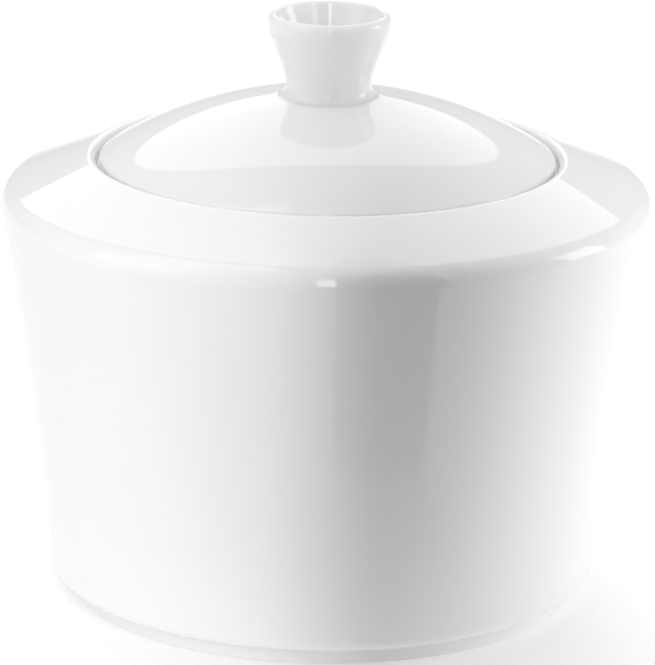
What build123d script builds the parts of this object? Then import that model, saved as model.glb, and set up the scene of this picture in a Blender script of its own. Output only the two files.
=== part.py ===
from build123d import *
import os
from math import sqrt

os.makedirs("parts", exist_ok=True)

# A round lidded sugar bowl in glazed porcelain: the bowl, its lid, and the hollow knob
# that is luted to the lid. Everything is a body of revolution about the upright axis Z.
# All sizes are in millimetres. Radii are measured from the axis, and heights from the
# plane that the foot ring stands on.

# Foot ring
FOOT_RADIUS = 37.6
FOOT_INNER_RADIUS = 34.8
FOOT_EDGE_ROUNDING = 0.35
FOOT_ROOT_ROUNDING = 1.0
FOOT_RECESS_ROUNDING = 0.8
FOOT_RECESS_HEIGHT = 2.3

# Bowl, outside: a wall that flares gently to a sloping shoulder
BASE_HEIGHT = 2.7
BASE_RADIUS = 40.8
BASE_ROUNDING = 2.0
WALL_MID_RADIUS = 44.55
WALL_MID_HEIGHT = 35.3
SHOULDER_RADIUS = 49.0
SHOULDER_HEIGHT = 61.55
SHOULDER_ROUNDING = 3.0
SHOULDER_SLOPE = 0.4

# Bowl, inside
WALL = 3.2
FLOOR_HEIGHT = 6.2
FLOOR_ROUNDING = 6.0
SHOULDER_INNER_RADIUS = 45.36
SHOULDER_INNER_HEIGHT = 59.55
SHOULDER_INNER_ROUNDING = 3.5

# Mouth: a shallow sunk seat for the lid, with a ledge that its flange drops through
MOUTH_RADIUS = 34.9
MOUTH_ROUNDING = 1.1
SEAT_RADIUS = 34.2
SEAT_HEIGHT = 65.4
SEAT_ROUNDING = 0.4
LEDGE_RADIUS = 30.4
LEDGE_THICKNESS = 2.8
LEDGE_LIP_ROUNDING = 1.1
LEDGE_ROOT_ROUNDING = 3.0

# Lid: a shallow dome with a rim that rests on the seat and a locating flange below it
LID_RADIUS = 33.87
DOME_RADIUS = 63.3
DOME_TOP = 76.4
LID_WALL = 3.0
RIM_TOP_ROUNDING = 0.7
RIM_BOTTOM_ROUNDING = 0.3
FLANGE_RADIUS = 29.6
FLANGE_WALL = 2.2
FLANGE_DEPTH = 4.5
FLANGE_ROUNDING = 0.7
FLANGE_ROOT_ROUNDING = 0.5
LID_INNER_ROUNDING = 1.5

# Knob: a short stem that flares to an open rim, hollow like a small cup
KNOB_BASE_RADIUS = 7.7
WAIST_RADIUS = 6.4
WAIST_HEIGHT = 77.6
FLARE_START_RADIUS = 6.86
FLARE_START_HEIGHT = 80.2
FLARE_END_RADIUS = 8.82
FLARE_END_HEIGHT = 85.5
KNOB_RADIUS = 9.13
KNOB_WIDEST_HEIGHT = 87.2
KNOB_CREST_RADIUS = 8.25
KNOB_HEIGHT = 88.35
HOLLOW_RADIUS = 7.75
HOLLOW_EDGE_HEIGHT = 87.9
HOLLOW_FLOOR_RADIUS = 4.5
HOLLOW_FLOOR_HEIGHT = 79.3
HOLLOW_ROUNDING = 2.5

UP = (0, 1)
DOWN = (0, -1)
INWARD = (-1, 0)


def dome_height(radius, sphere_radius, top):
    """Height of a spherical dome at a distance from the axis."""
    return top - sphere_radius + sqrt(sphere_radius**2 - radius**2)


def dome_arc(start_radius, end_radius, sphere_radius, top):
    """The dome's outline between two distances from the axis."""
    middle_radius = (start_radius + end_radius) / 2
    radii = [start_radius, middle_radius, end_radius]
    return ThreePointArc(*[(radius, dome_height(radius, sphere_radius, top)) for radius in radii])


def flat_profile(edges, roundings):
    """A half section from its edges, with each named corner rounded."""
    profile = make_face(Curve() + edges)
    for corner, rounding in roundings:
        nearest = profile.vertices().sort_by_distance(corner)[0]
        profile = fillet(nearest, rounding)
    return profile


def turned(profile):
    """The solid that a half section sweeps about the upright axis."""
    return revolve(Plane.XZ * profile, axis=Axis.Z, revolution_arc=360)


def bowl():
    """Foot ring, wall, shoulder and lid seat, cast in one piece."""
    foot_outer = (FOOT_RADIUS, 0)
    foot_inner = (FOOT_INNER_RADIUS, 0)
    foot_recess = (FOOT_INNER_RADIUS, FOOT_RECESS_HEIGHT)
    foot_root = (FOOT_RADIUS, BASE_HEIGHT)
    base = (BASE_RADIUS, BASE_HEIGHT)
    wall_middle = (WALL_MID_RADIUS, WALL_MID_HEIGHT)
    shoulder = (SHOULDER_RADIUS, SHOULDER_HEIGHT)
    mouth = (MOUTH_RADIUS, SHOULDER_HEIGHT + SHOULDER_SLOPE * (SHOULDER_RADIUS - MOUTH_RADIUS))
    seat = (SEAT_RADIUS, SEAT_HEIGHT)
    lip_top = (LEDGE_RADIUS, SEAT_HEIGHT)
    ledge_bottom = SEAT_HEIGHT - LEDGE_THICKNESS
    lip_bottom = (LEDGE_RADIUS, ledge_bottom)
    shoulder_inner = (SHOULDER_INNER_RADIUS, SHOULDER_INNER_HEIGHT)
    wall_inner = (WALL_MID_RADIUS - WALL, WALL_MID_HEIGHT)
    floor_corner = (BASE_RADIUS - WALL, FLOOR_HEIGHT)

    # The shoulder's underside runs parallel to its top, in to where it meets the ledge's underside.
    ledge_root_radius = SHOULDER_INNER_RADIUS - (ledge_bottom - SHOULDER_INNER_HEIGHT) / SHOULDER_SLOPE
    ledge_root = (ledge_root_radius, ledge_bottom)

    edges = [
        Line((0, FOOT_RECESS_HEIGHT), foot_recess),
        Line(foot_recess, foot_inner),
        Line(foot_inner, foot_outer),
        Line(foot_outer, foot_root),
        Line(foot_root, base),
        ThreePointArc(base, wall_middle, shoulder),
        Line(shoulder, mouth),
        Line(mouth, seat),
        Line(seat, lip_top),
        Line(lip_top, lip_bottom),
        Line(lip_bottom, ledge_root),
        Line(ledge_root, shoulder_inner),
        ThreePointArc(shoulder_inner, wall_inner, floor_corner),
        Line(floor_corner, (0, FLOOR_HEIGHT)),
        Line((0, FLOOR_HEIGHT), (0, FOOT_RECESS_HEIGHT)),
    ]
    roundings = [
        (foot_recess, FOOT_RECESS_ROUNDING),
        (foot_inner, FOOT_EDGE_ROUNDING),
        (foot_outer, FOOT_EDGE_ROUNDING),
        (foot_root, FOOT_ROOT_ROUNDING),
        (base, BASE_ROUNDING),
        (shoulder, SHOULDER_ROUNDING),
        (mouth, MOUTH_ROUNDING),
        (seat, SEAT_ROUNDING),
        (lip_top, LEDGE_LIP_ROUNDING),
        (lip_bottom, LEDGE_LIP_ROUNDING),
        (ledge_root, LEDGE_ROOT_ROUNDING),
        (shoulder_inner, SHOULDER_INNER_ROUNDING),
        (floor_corner, FLOOR_ROUNDING),
    ]
    return turned(flat_profile(edges, roundings))


def lid():
    """Dome, rim and locating flange, with a small flat on top that the knob is luted to."""
    pad_height = dome_height(KNOB_BASE_RADIUS, DOME_RADIUS, DOME_TOP)
    pad_edge = (KNOB_BASE_RADIUS, pad_height)
    rim_top = (LID_RADIUS, dome_height(LID_RADIUS, DOME_RADIUS, DOME_TOP))
    rim_bottom = (LID_RADIUS, SEAT_HEIGHT)
    flange_root = (FLANGE_RADIUS, SEAT_HEIGHT)
    flange_bottom = SEAT_HEIGHT - FLANGE_DEPTH
    flange_inner_radius = FLANGE_RADIUS - FLANGE_WALL
    flange_outer = (FLANGE_RADIUS, flange_bottom)
    flange_inner = (flange_inner_radius, flange_bottom)
    inner_radius = DOME_RADIUS - LID_WALL
    inner_top = DOME_TOP - LID_WALL
    inner_corner = (flange_inner_radius, dome_height(flange_inner_radius, inner_radius, inner_top))

    edges = [
        Line((0, pad_height), pad_edge),
        dome_arc(KNOB_BASE_RADIUS, LID_RADIUS, DOME_RADIUS, DOME_TOP),
        Line(rim_top, rim_bottom),
        Line(rim_bottom, flange_root),
        Line(flange_root, flange_outer),
        Line(flange_outer, flange_inner),
        Line(flange_inner, inner_corner),
        dome_arc(flange_inner_radius, 0, inner_radius, inner_top),
        Line((0, inner_top), (0, pad_height)),
    ]
    roundings = [
        (rim_top, RIM_TOP_ROUNDING),
        (rim_bottom, RIM_BOTTOM_ROUNDING),
        (flange_root, FLANGE_ROOT_ROUNDING),
        (flange_outer, FLANGE_ROUNDING),
        (flange_inner, FLANGE_ROUNDING),
        (inner_corner, LID_INNER_ROUNDING),
    ]
    return turned(flat_profile(edges, roundings))


def lid_knob():
    """Hollow flared knob, open at the top, standing on the lid's flat."""
    base_height = dome_height(KNOB_BASE_RADIUS, DOME_RADIUS, DOME_TOP)
    waist = (WAIST_RADIUS, WAIST_HEIGHT)
    flare_start = (FLARE_START_RADIUS, FLARE_START_HEIGHT)
    flare_end = (FLARE_END_RADIUS, FLARE_END_HEIGHT)
    widest = (KNOB_RADIUS, KNOB_WIDEST_HEIGHT)
    crest = (KNOB_CREST_RADIUS, KNOB_HEIGHT)
    hollow_edge = (HOLLOW_RADIUS, HOLLOW_EDGE_HEIGHT)
    hollow_corner = (HOLLOW_FLOOR_RADIUS, HOLLOW_FLOOR_HEIGHT)

    edges = [
        Line((0, base_height), (KNOB_BASE_RADIUS, base_height)),
        TangentArc(waist, (KNOB_BASE_RADIUS, base_height), tangent=DOWN),
        TangentArc(waist, flare_start, tangent=UP),
        Line(flare_start, flare_end),
        TangentArc(widest, flare_end, tangent=DOWN),
        TangentArc(widest, crest, tangent=UP),
        TangentArc(crest, hollow_edge, tangent=INWARD),
        Line(hollow_edge, hollow_corner),
        Line(hollow_corner, (0, HOLLOW_FLOOR_HEIGHT)),
        Line((0, HOLLOW_FLOOR_HEIGHT), (0, base_height)),
    ]
    return turned(flat_profile(edges, [(hollow_corner, HOLLOW_ROUNDING)]))


export_step(bowl(), "parts/bowl.step")
export_step(lid(), "parts/lid.step")
export_step(lid_knob(), "parts/lid_knob.step")
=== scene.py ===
import math

import bpy
import numpy as np
from mathutils import Matrix, Vector


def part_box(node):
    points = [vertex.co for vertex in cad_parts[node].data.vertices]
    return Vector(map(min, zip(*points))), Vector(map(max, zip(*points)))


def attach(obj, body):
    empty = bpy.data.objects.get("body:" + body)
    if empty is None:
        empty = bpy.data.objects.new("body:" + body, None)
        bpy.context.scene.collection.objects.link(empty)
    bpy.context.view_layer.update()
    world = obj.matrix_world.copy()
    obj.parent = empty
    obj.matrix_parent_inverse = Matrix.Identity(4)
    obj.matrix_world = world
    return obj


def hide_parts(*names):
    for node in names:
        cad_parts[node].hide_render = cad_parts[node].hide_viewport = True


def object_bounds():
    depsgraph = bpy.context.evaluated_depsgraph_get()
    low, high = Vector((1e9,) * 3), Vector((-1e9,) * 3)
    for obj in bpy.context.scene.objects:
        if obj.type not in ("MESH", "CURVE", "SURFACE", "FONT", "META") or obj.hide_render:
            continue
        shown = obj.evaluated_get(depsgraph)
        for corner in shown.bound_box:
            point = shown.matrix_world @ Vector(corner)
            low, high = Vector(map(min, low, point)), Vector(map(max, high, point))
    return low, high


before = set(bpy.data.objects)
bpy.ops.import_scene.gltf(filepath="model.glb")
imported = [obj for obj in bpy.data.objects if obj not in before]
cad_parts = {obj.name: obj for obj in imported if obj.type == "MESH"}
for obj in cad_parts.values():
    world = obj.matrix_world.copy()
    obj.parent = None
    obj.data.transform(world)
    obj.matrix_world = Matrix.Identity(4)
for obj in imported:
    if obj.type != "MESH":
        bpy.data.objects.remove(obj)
cad_low, cad_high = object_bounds()

# A lidded porcelain sugar bowl. Everything is turned about the frame's Z axis, so each piece is drawn as an
# outline of (radius, height) points in metres and spun. Heights start at the plane that the foot stands on.
# The lid's rim and flange and the knob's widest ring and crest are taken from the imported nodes' boxes.

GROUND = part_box("bowl")[0].z
lid_low, lid_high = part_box("lid")
knob_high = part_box("lid_knob")[1]

# Mesh fineness: steps round the axis, and the longest step along an outline, as an angle and as a length
TURNS = 256
ARC_STEP = math.radians(5)
LINE_STEP = 0.0012

# How near two points are when they count as one, and how near a point is to the axis when it counts as on it
SAME_POINT = 1e-7
ON_AXIS = 1e-6

# Foot ring
FOOT_RADIUS = 0.0376
FOOT_INNER_RADIUS = 0.0348
FOOT_EDGE_ROUNDING = 0.00035
FOOT_ROOT_ROUNDING = 0.0010
FOOT_RECESS = GROUND + 0.0023
FOOT_RECESS_ROUNDING = 0.0008

# Bowl, outside
BASE = (0.0408, GROUND + 0.0027)
BASE_ROUNDING = 0.0020
WALL_MIDDLE = (0.04455, GROUND + 0.0353)
SHOULDER = (0.0490, GROUND + 0.06155)
SHOULDER_ROUNDING = 0.0030
SHOULDER_SLOPE = 0.4

# Bowl, inside
WALL = 0.0032
FLOOR = GROUND + 0.0062
FLOOR_ROUNDING = 0.0060
SHOULDER_INNER = (0.04536, GROUND + 0.05955)
SHOULDER_INNER_ROUNDING = 0.0035

# Mouth, seat and ledge. The lid's flange reaches down from the seat by its depth. A bare pair is the inner
# and outer radius of the ring that is left unglazed.
FLANGE_DEPTH = 0.0045
MOUTH_RADIUS = 0.0349
MOUTH_ROUNDING = 0.0011
SEAT = lid_low.z + FLANGE_DEPTH
SEAT_RADIUS = 0.0342
SEAT_ROUNDING = 0.0004
SEAT_BARE = (0.0318, 0.0336)
LEDGE_RADIUS = 0.0304
LEDGE_THICKNESS = 0.0028
LEDGE_BOTTOM = SEAT - LEDGE_THICKNESS
LEDGE_LIP_ROUNDING = 0.0011
LEDGE_ROOT_ROUNDING = 0.0030

# Lid
LID_RADIUS = lid_high.x
DOME_RADIUS = 0.0633
DOME_TOP = GROUND + 0.0764
LID_WALL = 0.0030
RIM_TOP_ROUNDING = 0.0007
RIM_BOTTOM_ROUNDING = 0.0003
RIM_BARE = (0.0304, 0.0333)
FLANGE_RADIUS = 0.0296
FLANGE_INNER_RADIUS = 0.0274
FLANGE_BOTTOM = lid_low.z
FLANGE_ROUNDING = 0.0007
FLANGE_ROOT_ROUNDING = 0.0005
LID_INNER_ROUNDING = 0.0015

# Knob. Its toe is sunk a hair into the lid, so that no gap shows between them.
KNOB_BASE_RADIUS = 0.0077
KNOB_TOE_SINK = 0.00006
WAIST = (0.0064, GROUND + 0.0776)
FLARE_START = (0.00686, GROUND + 0.0802)
FLARE_END = (0.00882, GROUND + 0.0855)
KNOB_WIDEST = (knob_high.x, GROUND + 0.0872)
KNOB_CREST = (0.00825, knob_high.z)
HOLLOW_EDGE = (0.00775, GROUND + 0.0879)
HOLLOW_CORNER = (0.0045, GROUND + 0.0793)
HOLLOW_ROUNDING = 0.0025

# Finishes, by their place in a piece's list of materials
GLAZED = 0
BARE = 1


# ---------------------------------------------------------------- outlines

# The search for a rounding's centre: where it starts, in radii from the corner, and how often it is moved
FIRST_GUESS = 1.4
CENTRE_MOVES = 20


def circle_centre(a, b, c):
    """Centre of the circle through three points."""
    a, b, c = (np.array(p, float) for p in (a, b, c))
    sides = np.array([b - a, c - a])
    return np.linalg.solve(sides, [(b @ b - a @ a) / 2, (c @ c - a @ a) / 2])


def cross(a, b):
    """The turn from one direction to another: positive to the left."""
    return a[0] * b[1] - a[1] * b[0]


class Stretch:
    """A straight or round stretch of an outline, from one corner to the next."""

    def __init__(self, start, end, via=None, finish=GLAZED):
        self.start = np.array(start, float)
        self.end = np.array(end, float)
        self.finish = finish
        self.centre = None
        if via is not None:
            self.centre = circle_centre(start, via, end)
            self.radius = np.linalg.norm(self.start - self.centre)
            self.side = np.sign(cross(self.start - self.centre, self.end - self.centre))

    def direction(self, point):
        """Unit direction of travel at a point on the stretch."""
        if self.centre is None:
            run = self.end - self.start
        else:
            spoke = point - self.centre
            run = self.side * np.array([-spoke[1], spoke[0]])
        return run / np.linalg.norm(run)

    def gap(self, point):
        """Distance of a point to the left of the stretch's whole line or circle."""
        if self.centre is None:
            return cross(self.direction(self.start), point - self.start)
        return self.side * (self.radius - np.linalg.norm(point - self.centre))

    def nearest(self, point):
        """The point of the stretch's whole line or circle that is nearest to a point."""
        if self.centre is None:
            along = self.direction(self.start)
            return self.start + along * ((point - self.start) @ along)
        spoke = point - self.centre
        return self.centre + spoke * self.radius / np.linalg.norm(spoke)

    def sample(self, start, end):
        """Points and directions of travel from start to end, both on the stretch."""
        if self.centre is None:
            count = max(1, math.ceil(np.linalg.norm(end - start) / LINE_STEP))
            points = [start + (end - start) * i / count for i in range(count + 1)]
        else:
            first, last = start - self.centre, end - self.centre
            turn = math.atan2(cross(first, last), first @ last)
            length_steps = self.radius * abs(turn) / LINE_STEP
            count = max(1, math.ceil(max(abs(turn) / ARC_STEP, length_steps)))
            angle = math.atan2(first[1], first[0])
            angles = [angle + turn * i / count for i in range(count + 1)]
            points = [self.centre + self.radius * np.array([math.cos(a), math.sin(a)]) for a in angles]
        return [(p, self.direction(p), self.finish) for p in points]


def rounding_arc(before, after, radius):
    """The arc of a given radius that rounds the corner between two stretches. Its centre starts a little
    inside the corner and is moved until it is a radius away from both."""
    tip = before.end
    turn = np.sign(cross(before.direction(tip), after.direction(tip)))
    inward = after.direction(tip) - before.direction(tip)
    centre = tip + inward / np.linalg.norm(inward) * radius * FIRST_GUESS
    for _ in range(CENTRE_MOVES):
        miss = np.array([before.gap(centre), after.gap(centre)]) - turn * radius
        slopes = []
        for stretch in (before, after):
            along = stretch.direction(stretch.nearest(centre))
            slopes.append([-along[1], along[0]])
        centre = centre - np.linalg.solve(np.array(slopes), miss)
    first, last = before.nearest(centre), after.nearest(centre)
    middle = (first + last) / 2 - centre
    via = centre + middle * radius / np.linalg.norm(middle)
    return Stretch(first, last, via, min(before.finish, after.finish))


class Corner:
    """A corner of an outline. Via bends the stretch that leaves it, and finish is that stretch's material."""

    def __init__(self, radius, height, rounding=0.0, via=None, finish=GLAZED):
        self.point = (radius, height)
        self.rounding = rounding
        self.via = via
        self.finish = finish


def outline(corners):
    """Rows of (point, direction, finish) along an outline, with its corners rounded."""
    stretches = []
    for here, there in zip(corners[:-1], corners[1:]):
        stretches.append(Stretch(here.point, there.point, here.via, here.finish))
    starts = [s.start for s in stretches]
    ends = [s.end for s in stretches]
    arcs = [None] * len(stretches)
    for i in range(1, len(stretches)):
        if corners[i].rounding:
            arcs[i] = rounding_arc(stretches[i - 1], stretches[i], corners[i].rounding)
            ends[i - 1] = arcs[i].start
            starts[i] = arcs[i].end
    rows = []
    for i, stretch in enumerate(stretches):
        if arcs[i] is not None:
            rows += arcs[i].sample(arcs[i].start, arcs[i].end)
        rows += stretch.sample(starts[i], ends[i])
    return rows


# ---------------------------------------------------------------- meshes

def joined(rows):
    """The rows with each pair that meets at one point made into one, whose direction is their mean."""
    kept = [rows[0]]
    for point, direction, finish in rows[1:]:
        last_point, last_direction, _ = kept[-1]
        if np.linalg.norm(point - last_point) > SAME_POINT:
            kept.append((point, direction, finish))
        else:
            kept[-1] = (last_point, last_direction + direction, finish)
    return kept


def spun_rings(rows):
    """Vertices, their normals, and each row's ring of vertex numbers. A row on the axis is one vertex."""
    angles = [2 * math.pi * t / TURNS for t in range(TURNS)]
    vertices, normals, rings = [], [], []
    for point, direction, _ in rows:
        direction = direction / np.linalg.norm(direction)
        outward = np.array([direction[1], -direction[0]])
        if point[0] < ON_AXIS:
            rings.append([len(vertices)] * TURNS)
            vertices.append((0, 0, point[1]))
            normals.append((0, 0, math.copysign(1, outward[1])))
            continue
        rings.append(list(range(len(vertices), len(vertices) + TURNS)))
        for a in angles:
            vertices.append((point[0] * math.cos(a), point[0] * math.sin(a), point[1]))
            normals.append((outward[0] * math.cos(a), outward[0] * math.sin(a), outward[1]))
    return vertices, normals, rings


def ring_faces(rows, rings):
    """Faces between neighbouring rings, with each face's finish. At the axis they are triangles."""
    faces, finishes = [], []
    for i in range(len(rows) - 1):
        for t in range(TURNS):
            u = (t + 1) % TURNS
            loop = [rings[i][t], rings[i][u], rings[i + 1][u], rings[i + 1][t]]
            loop = list(dict.fromkeys(loop))
            if len(loop) > 2:
                faces.append(loop)
                finishes.append(rows[i][2])
    return faces, finishes


def spun(name, corners, materials, body, node):
    """The piece that a closed outline sweeps about the axis, with the exact normals of its outline."""
    rows = joined(outline(corners))
    vertices, normals, rings = spun_rings(rows)
    faces, finishes = ring_faces(rows, rings)
    mesh = bpy.data.meshes.new(name)
    mesh.from_pydata(vertices, [], faces)
    for material in materials:
        mesh.materials.append(material)
    mesh.polygons.foreach_set("material_index", finishes)
    mesh.polygons.foreach_set("use_smooth", [True] * len(faces))
    mesh.normals_split_custom_set_from_vertices(normals)
    mesh.validate()
    piece = bpy.data.objects.new(name, mesh)
    bpy.context.scene.collection.objects.link(piece)
    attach(piece, body)
    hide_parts(node)


def dome_height(radius, sphere_radius, top):
    """Height of a spherical dome at a distance from the axis."""
    return top - sphere_radius + math.sqrt(sphere_radius**2 - radius**2)


def bowl_corners():
    """The bowl's outline, from the axis under the floor, round the outside and back to the axis inside."""
    mouth_height = SHOULDER[1] + SHOULDER_SLOPE * (SHOULDER[0] - MOUTH_RADIUS)
    ledge_root = SHOULDER_INNER[0] - (LEDGE_BOTTOM - SHOULDER_INNER[1]) / SHOULDER_SLOPE
    wall_inner = (WALL_MIDDLE[0] - WALL, WALL_MIDDLE[1])
    return [
        Corner(0, FOOT_RECESS),
        Corner(FOOT_INNER_RADIUS, FOOT_RECESS, FOOT_RECESS_ROUNDING),
        Corner(FOOT_INNER_RADIUS, GROUND, FOOT_EDGE_ROUNDING, finish=BARE),
        Corner(FOOT_RADIUS, GROUND, FOOT_EDGE_ROUNDING),
        Corner(FOOT_RADIUS, BASE[1], FOOT_ROOT_ROUNDING),
        Corner(*BASE, BASE_ROUNDING, via=WALL_MIDDLE),
        Corner(*SHOULDER, SHOULDER_ROUNDING),
        Corner(MOUTH_RADIUS, mouth_height, MOUTH_ROUNDING),
        Corner(SEAT_RADIUS, SEAT, SEAT_ROUNDING),
        Corner(SEAT_BARE[1], SEAT, finish=BARE),
        Corner(SEAT_BARE[0], SEAT),
        Corner(LEDGE_RADIUS, SEAT, LEDGE_LIP_ROUNDING),
        Corner(LEDGE_RADIUS, LEDGE_BOTTOM, LEDGE_LIP_ROUNDING),
        Corner(ledge_root, LEDGE_BOTTOM, LEDGE_ROOT_ROUNDING),
        Corner(*SHOULDER_INNER, SHOULDER_INNER_ROUNDING, via=wall_inner),
        Corner(BASE[0] - WALL, FLOOR, FLOOR_ROUNDING),
        Corner(0, FLOOR),
    ]


def dome_via(start_radius, end_radius, sphere_radius, top):
    """The point of a spherical dome midway between two distances from the axis."""
    middle = (start_radius + end_radius) / 2
    return middle, dome_height(middle, sphere_radius, top)


def lid_corners():
    """The lid's outline, from the axis under the dome, round the flange and rim to the knob's flat."""
    inner_radius, inner_top = DOME_RADIUS - LID_WALL, DOME_TOP - LID_WALL
    inner_edge = dome_height(FLANGE_INNER_RADIUS, inner_radius, inner_top)
    rim_top = dome_height(LID_RADIUS, DOME_RADIUS, DOME_TOP)
    pad = dome_height(KNOB_BASE_RADIUS, DOME_RADIUS, DOME_TOP)
    return [
        Corner(0, inner_top, via=dome_via(0, FLANGE_INNER_RADIUS, inner_radius, inner_top)),
        Corner(FLANGE_INNER_RADIUS, inner_edge, LID_INNER_ROUNDING),
        Corner(FLANGE_INNER_RADIUS, FLANGE_BOTTOM, FLANGE_ROUNDING),
        Corner(FLANGE_RADIUS, FLANGE_BOTTOM, FLANGE_ROUNDING),
        Corner(FLANGE_RADIUS, SEAT, FLANGE_ROOT_ROUNDING),
        Corner(RIM_BARE[0], SEAT, finish=BARE),
        Corner(RIM_BARE[1], SEAT),
        Corner(LID_RADIUS, SEAT, RIM_BOTTOM_ROUNDING),
        Corner(LID_RADIUS, rim_top, RIM_TOP_ROUNDING,
               via=dome_via(LID_RADIUS, KNOB_BASE_RADIUS, DOME_RADIUS, DOME_TOP)),
        Corner(KNOB_BASE_RADIUS, pad),
        Corner(0, pad),
    ]


def tangent_via(start, tangent, end):
    """A point on the arc that leaves start along tangent and ends at end."""
    start, tangent, end = (np.array(p, float) for p in (start, tangent, end))
    chord = end - start
    normal = np.array([-tangent[1], tangent[0]])
    radius = (chord @ chord) / (2 * (chord @ normal))
    centre = start + normal * radius
    middle = (start + end) / 2 - centre
    return tuple(centre + middle * abs(radius) / np.linalg.norm(middle))


def knob_corners():
    """The knob's outline, from the axis at its flat base, up the outside and down into the hollow."""
    base = dome_height(KNOB_BASE_RADIUS, DOME_RADIUS, DOME_TOP) - KNOB_TOE_SINK
    toe = (KNOB_BASE_RADIUS, base)
    return [
        Corner(0, base),
        Corner(*toe, via=tangent_via(WAIST, (0, -1), toe)),
        Corner(*WAIST, via=tangent_via(WAIST, (0, 1), FLARE_START)),
        Corner(*FLARE_START),
        Corner(*FLARE_END, via=tangent_via(KNOB_WIDEST, (0, -1), FLARE_END)),
        Corner(*KNOB_WIDEST, via=tangent_via(KNOB_WIDEST, (0, 1), KNOB_CREST)),
        Corner(*KNOB_CREST, via=tangent_via(KNOB_CREST, (-1, 0), HOLLOW_EDGE)),
        Corner(*HOLLOW_EDGE),
        Corner(*HOLLOW_CORNER, HOLLOW_ROUNDING),
        Corner(0, HOLLOW_CORNER[1]),
    ]


# ---------------------------------------------------------------- materials

# Rings (radius, height, reach) where wet glaze runs together and fires a little thicker: the foot's root and
# recess, the floor's edge, the seat, the flange's root, the lid inside its flange, the knob's toe and hollow
POOLS = [
    (FOOT_RADIUS + 0.0005, BASE[1] - 0.0005, 0.0016),
    (FOOT_INNER_RADIUS, FOOT_RECESS, 0.0020),
    (BASE[0] - WALL - 0.003, FLOOR + 0.002, 0.0050),
    (SEAT_RADIUS, SEAT, 0.0012),
    (FLANGE_RADIUS, SEAT, 0.0012),
    (FLANGE_INNER_RADIUS, GROUND + 0.0666, 0.0022),
    (KNOB_BASE_RADIUS, GROUND + 0.0761, 0.0011),
    (0.0030, HOLLOW_CORNER[1], 0.0030),
]
# Rings (radius, height, reach) where it draws back thin over an edge: the shoulder, the mouth, the lid's rim,
# the knob's crest and the ledge's lip
THIN_EDGES = [
    (0.0484, GROUND + 0.0612, 0.0022),
    (MOUTH_RADIUS + 0.0004, GROUND + 0.0667, 0.0012),
    (LID_RADIUS, GROUND + 0.0665, 0.0010),
    (*KNOB_CREST, 0.0009),
    (LEDGE_RADIUS, SEAT, 0.0010),
]

PORCELAIN_PALE = (0.909, 0.912, 0.910, 1)
PORCELAIN_DEEP = (0.894, 0.898, 0.896, 1)
POOL_TINT = (0.885, 0.892, 0.878, 1)
THIN_TINT = (0.920, 0.915, 0.898, 1)
SPECK_TINT = (0.62, 0.58, 0.52, 1)
BISCUIT_PALE = (0.87, 0.86, 0.84, 1)
BISCUIT_RUBBED = (0.66, 0.65, 0.63, 1)

# Glaze: sizes in metres of its clouds, grain, waves and orange peel, and how deep the last two are
CLOUD_SIZE = 0.028
GRAIN_SIZE = 0.0009
WAVE_SIZE = 0.016
WAVE_DEPTH = 0.000010
PEEL_SIZE = 0.0026
PEEL_DEPTH = 0.0000009
POOL_STRENGTH = 0.55
THIN_STRENGTH = 0.6
THIN_ROUGHENING = 0.03
GLOSS_ROUGHNESS = (0.025, 0.045)
GLAZE_IOR = 1.52

# Iron specks in the glaze and grit in the bare clay: cell size, speck size, share of cells, strength
IRON_SPECKS = (0.0085, 0.00014, 0.10, 0.55)
GRIT_SPECKS = (0.0012, 0.00012, 0.35, 0.6)

# Light that sinks into the white body under the glaze and comes out close by
BODY_SUBSURFACE = 0.3
BODY_RADIUS = (1.0, 0.9, 0.75)
BODY_SCALE = 0.0015

# Bare clay: sizes of the rubbed patches and of the sand, the sand's depth, and matt and rubbed roughness
RUB_SIZE = 0.006
SAND_SIZE = 0.00035
SAND_DEPTH = 0.000012
BARE_ROUGHNESS = (0.78, 0.5)

# Numbers of the sockets that a colour mix uses, because its float and vector sockets have the same names
MIX_FACTOR = 0
MIX_FIRST = 6
MIX_SECOND = 7
MIX_COLOUR = 2


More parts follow.
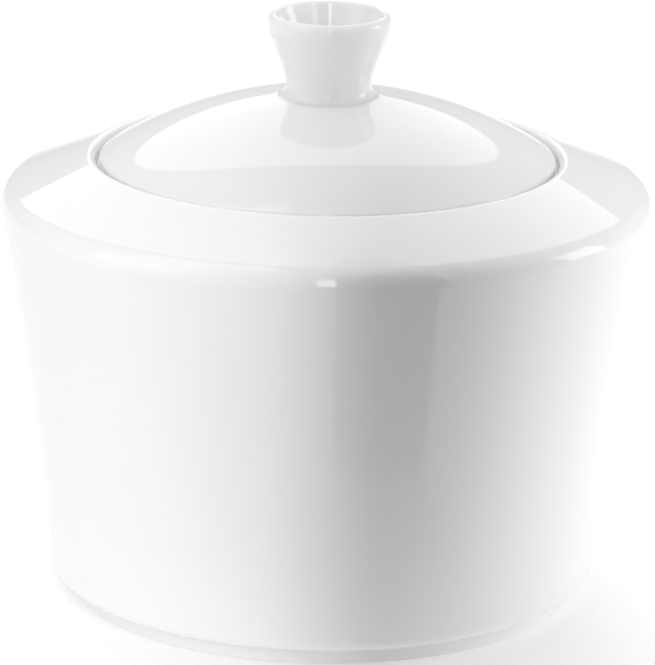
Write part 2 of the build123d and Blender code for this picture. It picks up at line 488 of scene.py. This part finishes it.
class Nodes:
    """Short calls that add and join shader nodes of one material."""

    def __init__(self, name):
        self.material = bpy.data.materials.new(name)
        self.material.use_nodes = True
        self.tree = self.material.node_tree
        self.shader = self.tree.nodes["Principled BSDF"]
        self.place = self.tree.nodes.new("ShaderNodeTexCoord").outputs["Object"]

    def put(self, socket, value):
        """Joins another node's output to a socket, or sets the socket to a plain value."""
        if isinstance(value, bpy.types.NodeSocket):
            self.tree.links.new(value, socket)
        else:
            socket.default_value = value

    def math(self, operation, first, second=0.0):
        """A math node on one or two numbers."""
        node = self.tree.nodes.new("ShaderNodeMath")
        node.operation = operation
        self.put(node.inputs[0], first)
        self.put(node.inputs[1], second)
        return node.outputs[0]

    def ramp(self, value, low, high, out_low=0.0, out_high=1.0):
        """The value eased from low..high to out_low..out_high."""
        node = self.tree.nodes.new("ShaderNodeMapRange")
        node.interpolation_type = "SMOOTHSTEP"
        node.inputs["From Min"].default_value = low
        node.inputs["From Max"].default_value = high
        node.inputs["To Min"].default_value = out_low
        node.inputs["To Max"].default_value = out_high
        self.put(node.inputs["Value"], value)
        return node.outputs["Result"]

    def blend(self, amount, first, second):
        """The first colour with the second laid over it by amount."""
        node = self.tree.nodes.new("ShaderNodeMix")
        node.data_type = "RGBA"
        self.put(node.inputs[MIX_FACTOR], amount)
        self.put(node.inputs[MIX_FIRST], first)
        self.put(node.inputs[MIX_SECOND], second)
        return node.outputs[MIX_COLOUR]

    def noise(self, feature, detail=2.0, roughness=0.5):
        """Noise with lumps of about the given size in metres."""
        node = self.tree.nodes.new("ShaderNodeTexNoise")
        node.inputs["Scale"].default_value = 1 / feature
        node.inputs["Detail"].default_value = detail
        node.inputs["Roughness"].default_value = roughness
        self.put(node.inputs["Vector"], self.place)
        return node.outputs["Fac"]

    def specks(self, spacing, size, share, strength):
        """Round specks of a given size and strength, in a share of the cells of a given spacing."""
        node = self.tree.nodes.new("ShaderNodeTexVoronoi")
        node.inputs["Scale"].default_value = 1 / spacing
        self.put(node.inputs["Vector"], self.place)
        chance = self.tree.nodes.new("ShaderNodeSeparateColor")
        self.put(chance.inputs["Color"], node.outputs["Color"])
        here = self.math("LESS_THAN", chance.outputs["Red"], share)
        edge = size / spacing
        near = self.ramp(node.outputs["Distance"], 0.4 * edge, edge, 1.0, 0.0)
        return self.math("MULTIPLY", self.math("MULTIPLY", here, near), strength)

    def rings(self, rings):
        """1 on any of the rings about the axis, fading to 0 at each ring's reach."""
        parts = self.tree.nodes.new("ShaderNodeSeparateXYZ")
        self.put(parts.inputs["Vector"], self.place)
        square = self.math("POWER", parts.outputs["X"], 2.0)
        square = self.math("ADD", square, self.math("POWER", parts.outputs["Y"], 2.0))
        radius = self.math("SQRT", square)
        total = 0.0
        for ring_radius, ring_height, reach in rings:
            across = self.math("POWER", self.math("SUBTRACT", radius, ring_radius), 2.0)
            up = self.math("POWER", self.math("SUBTRACT", parts.outputs["Z"], ring_height), 2.0)
            gap = self.math("SQRT", self.math("ADD", across, up))
            total = self.math("MAXIMUM", self.ramp(gap, 0.0, reach, 1.0, 0.0), total)
        return total

    def bump(self, height, depth, under=None):
        """A bump of a given depth in metres, over another bump."""
        node = self.tree.nodes.new("ShaderNodeBump")
        node.inputs["Distance"].default_value = depth
        self.put(node.inputs["Height"], height)
        if under is not None:
            self.put(node.inputs["Normal"], under)
        return node.outputs["Normal"]


def glazed_porcelain():
    """White porcelain under a clear gloss glaze: faint clouding, pooled and thinned glaze, a rare iron speck,
    and the slight unevenness of a fired glaze."""
    n = Nodes("glazed_porcelain")
    clouds = n.noise(CLOUD_SIZE, detail=3.0)
    grain = n.noise(GRAIN_SIZE, detail=1.0)
    wave = n.noise(WAVE_SIZE, detail=1.0)
    peel = n.noise(PEEL_SIZE, detail=1.0)
    pools = n.math("MULTIPLY", n.rings(POOLS), POOL_STRENGTH)
    thin = n.math("MULTIPLY", n.rings(THIN_EDGES), THIN_STRENGTH)

    colour = n.blend(n.ramp(clouds, 0.3, 0.7), PORCELAIN_PALE, PORCELAIN_DEEP)
    colour = n.blend(n.ramp(grain, 0.35, 0.75, 0.0, 0.25), colour, PORCELAIN_DEEP)
    colour = n.blend(pools, colour, POOL_TINT)
    colour = n.blend(thin, colour, THIN_TINT)
    colour = n.blend(n.specks(*IRON_SPECKS), colour, SPECK_TINT)
    n.put(n.shader.inputs["Base Color"], colour)

    gloss = n.ramp(clouds, 0.25, 0.75, *GLOSS_ROUGHNESS)
    rough = n.math("ADD", gloss, n.math("MULTIPLY", thin, THIN_ROUGHENING))
    n.put(n.shader.inputs["Roughness"], rough)
    uneven = n.bump(wave, WAVE_DEPTH)
    uneven = n.bump(peel, PEEL_DEPTH, under=uneven)
    n.put(n.shader.inputs["Normal"], uneven)
    n.shader.inputs["IOR"].default_value = GLAZE_IOR
    n.shader.inputs["Subsurface Weight"].default_value = BODY_SUBSURFACE
    n.shader.inputs["Subsurface Radius"].default_value = BODY_RADIUS
    n.shader.inputs["Subsurface Scale"].default_value = BODY_SCALE
    return n.material


def bare_porcelain():
    """Unglazed porcelain on the foot ring and where the lid rests: matt, finely sandy and rubbed grey."""
    n = Nodes("bare_porcelain")
    rubbing = n.noise(RUB_SIZE, detail=4.0, roughness=0.6)
    sand = n.noise(SAND_SIZE, detail=2.0)

    colour = n.blend(n.ramp(rubbing, 0.45, 0.75, 0.0, 0.7), BISCUIT_PALE, BISCUIT_RUBBED)
    colour = n.blend(n.specks(*GRIT_SPECKS), colour, SPECK_TINT)
    n.put(n.shader.inputs["Base Color"], colour)
    n.put(n.shader.inputs["Roughness"], n.ramp(rubbing, 0.4, 0.8, *BARE_ROUGHNESS))
    n.put(n.shader.inputs["Normal"], n.bump(sand, SAND_DEPTH))
    return n.material


finishes = [glazed_porcelain(), bare_porcelain()]
spun("bowl_body", bowl_corners(), finishes, "bowl", "bowl")
spun("lid_dome", lid_corners(), finishes, "lid", "lid")
spun("knob_cup", knob_corners(), finishes, "lid", "lid_knob")


# ---------------------------------------------------------------- stage

# The table. Its glow starts at the first of the two Y values, is full at the second, and goes on behind.
FLOOR_HALF = 3.0
FLOOR_SHADE = (0.80, 0.80, 0.80, 1)
FLOOR_ROUGHNESS = 0.85
FLOOR_SPECULAR = 0.1
FLOOR_GLOW = 0.26
GLOW_FRONT = (-0.075, -0.045)

# The room's own light, the point that the side softboxes aim at, and how far off they stand
ROOM_COLOUR = (0.985, 0.992, 1.0, 1)
ROOM_LIGHT = 0.67
AIM = Vector((0, 0, 0.05))
SOFTBOX_DISTANCE = 1.2

# The big round softbox behind the bowl
ROUND_BOX_PLACE = Vector((-0.01, 0.80, 0.67))
ROUND_BOX_YAW = math.radians(9)
ROUND_BOX_TILT = math.radians(37)
ROUND_BOX_SIZE = 0.9
ROUND_BOX_BRIGHTNESS = 0.87

# The black card, sunk a little into the table so that no light passes under it
CARD_SHADE = (0.02, 0.02, 0.02, 1)
CARD_AZIMUTH = math.radians(163)
CARD_DISTANCE = 0.09
CARD_WIDTH = 0.046
CARD_HEIGHT = 0.17
CARD_SINK = 0.001

SENSOR_WIDTH = 36
CAMERA_LENS = 281.9
CAMERA_PLACE = Vector((0, -0.750, 0.25989))
CAMERA_YAW = math.radians(0.028)
CAMERA_PITCH = math.radians(16.395)
CAMERA_ROLL = math.radians(-0.85)


def staged(name, corners, material):
    """A flat four-cornered sheet of the studio, not part of the object."""
    mesh = bpy.data.meshes.new(name)
    mesh.from_pydata(corners, [], [(0, 1, 2, 3)])
    mesh.materials.append(material)
    sheet = bpy.data.objects.new(name, mesh)
    bpy.context.scene.collection.objects.link(sheet)
    return sheet


def floor():
    """A plain white table that the foot ring stands on, which glows softly under the bowl and behind it."""
    n = Nodes("table_white")
    n.shader.inputs["Base Color"].default_value = FLOOR_SHADE
    n.shader.inputs["Roughness"].default_value = FLOOR_ROUGHNESS
    n.shader.inputs["Specular IOR Level"].default_value = FLOOR_SPECULAR
    n.shader.inputs["Emission Color"].default_value = (1, 1, 1, 1)
    parts = n.tree.nodes.new("ShaderNodeSeparateXYZ")
    n.put(parts.inputs["Vector"], n.place)
    glow = n.ramp(parts.outputs["Y"], *GLOW_FRONT, 0.0, FLOOR_GLOW)
    n.put(n.shader.inputs["Emission Strength"], glow)
    h, z = FLOOR_HALF, cad_low.z
    staged("floor", [(-h, -h, z), (h, -h, z), (h, h, z), (-h, h, z)], n.material)


def heading(azimuth, elevation):
    """A unit direction, from degrees round from straight ahead, +Y, towards +X, and degrees up."""
    a = math.radians(azimuth)
    e = math.radians(elevation)
    return Vector((math.sin(a) * math.cos(e), math.cos(a) * math.cos(e), math.sin(e)))


def softbox(name, place, target, width, height, brightness, shape="RECTANGLE"):
    """A soft light that faces a target. Brightness is its surface's radiance."""
    light = bpy.data.lights.new(name, "AREA")
    light.shape = shape
    light.size = width
    light.size_y = height
    area = width * height * (math.pi / 4 if shape == "DISK" else 1)
    light.energy = brightness * math.pi * area
    lamp = bpy.data.objects.new(name, light)
    lamp.location = place
    lamp.rotation_euler = (target - place).to_track_quat("-Z", "Y").to_euler()
    lamp.visible_camera = False
    bpy.context.scene.collection.objects.link(lamp)


def side_softbox(name, azimuth, elevation, width, height, brightness):
    """A soft light that aims at the bowl from round about."""
    place = AIM + heading(azimuth, elevation) * SOFTBOX_DISTANCE
    softbox(name, place, AIM, width, height, brightness)


def round_softbox():
    """The big round softbox behind, whose reflection lies across the lid and the shoulder."""
    facing = Vector((
        math.sin(ROUND_BOX_YAW) * math.cos(ROUND_BOX_TILT),
        -math.cos(ROUND_BOX_YAW) * math.cos(ROUND_BOX_TILT),
        -math.sin(ROUND_BOX_TILT),
    ))
    target = ROUND_BOX_PLACE + facing
    size = ROUND_BOX_SIZE
    softbox("softbox_back", ROUND_BOX_PLACE, target, size, size, ROUND_BOX_BRIGHTNESS, shape="DISK")


def black_card():
    """A black card that stands close in front of the bowl and darkens a band of the wall. It is hidden from
    the camera."""
    n = Nodes("card_black")
    n.shader.inputs["Base Color"].default_value = CARD_SHADE
    n.shader.inputs["Specular IOR Level"].default_value = 0.0
    middle = Vector((math.sin(CARD_AZIMUTH), math.cos(CARD_AZIMUTH), 0)) * CARD_DISTANCE
    side = Vector((math.cos(CARD_AZIMUTH), -math.sin(CARD_AZIMUTH), 0)) * CARD_WIDTH / 2
    low = Vector((0, 0, cad_low.z - CARD_SINK))
    high = Vector((0, 0, cad_low.z + CARD_HEIGHT))
    corners = [middle - side + low, middle + side + low, middle + side + high, middle - side + high]
    staged("card", corners, n.material).visible_camera = False


def room():
    """Even, slightly cool light from all round."""
    world = bpy.data.worlds.new("studio")
    world.use_nodes = True
    background = world.node_tree.nodes["Background"]
    background.inputs["Color"].default_value = ROOM_COLOUR
    background.inputs["Strength"].default_value = ROOM_LIGHT
    bpy.context.scene.world = world


def lights():
    """The round softbox, plain softboxes round the sides and front, the card and the room's own light."""
    round_softbox()
    side_softbox("softbox_left", -110, 28, 0.70, 1.20, 0.70)
    side_softbox("softbox_left_top", -90, 68, 0.60, 0.60, 1.10)
    side_softbox("softbox_right", 80, 15, 0.42, 0.64, 2.90)
    side_softbox("softbox_front", 175, 21, 0.32, 0.84, 3.89)
    side_softbox("softbox_front_right", 152, 21, 0.64, 0.84, 1.39)
    black_card()
    room()


def camera():
    """The camera that looks down on the bowl, rolled a little as the photographer's was."""
    data = bpy.data.cameras.new("camera")
    data.sensor_width = SENSOR_WIDTH
    data.lens = CAMERA_LENS
    forward = Vector((
        math.sin(CAMERA_YAW) * math.cos(CAMERA_PITCH),
        math.cos(CAMERA_YAW) * math.cos(CAMERA_PITCH),
        -math.sin(CAMERA_PITCH),
    ))
    level = Vector((math.cos(CAMERA_YAW), -math.sin(CAMERA_YAW), 0))
    up = level.cross(forward)
    across = level * math.cos(CAMERA_ROLL) - up * math.sin(CAMERA_ROLL)
    upward = level * math.sin(CAMERA_ROLL) + up * math.cos(CAMERA_ROLL)
    turn = Matrix((across, upward, -forward)).transposed()
    eye = bpy.data.objects.new("camera", data)
    eye.matrix_world = Matrix.Translation(CAMERA_PLACE) @ turn.to_4x4()
    bpy.context.scene.collection.objects.link(eye)
    bpy.context.scene.camera = eye


floor()
lights()
camera()
bpy.context.scene.view_settings.view_transform = "Standard"
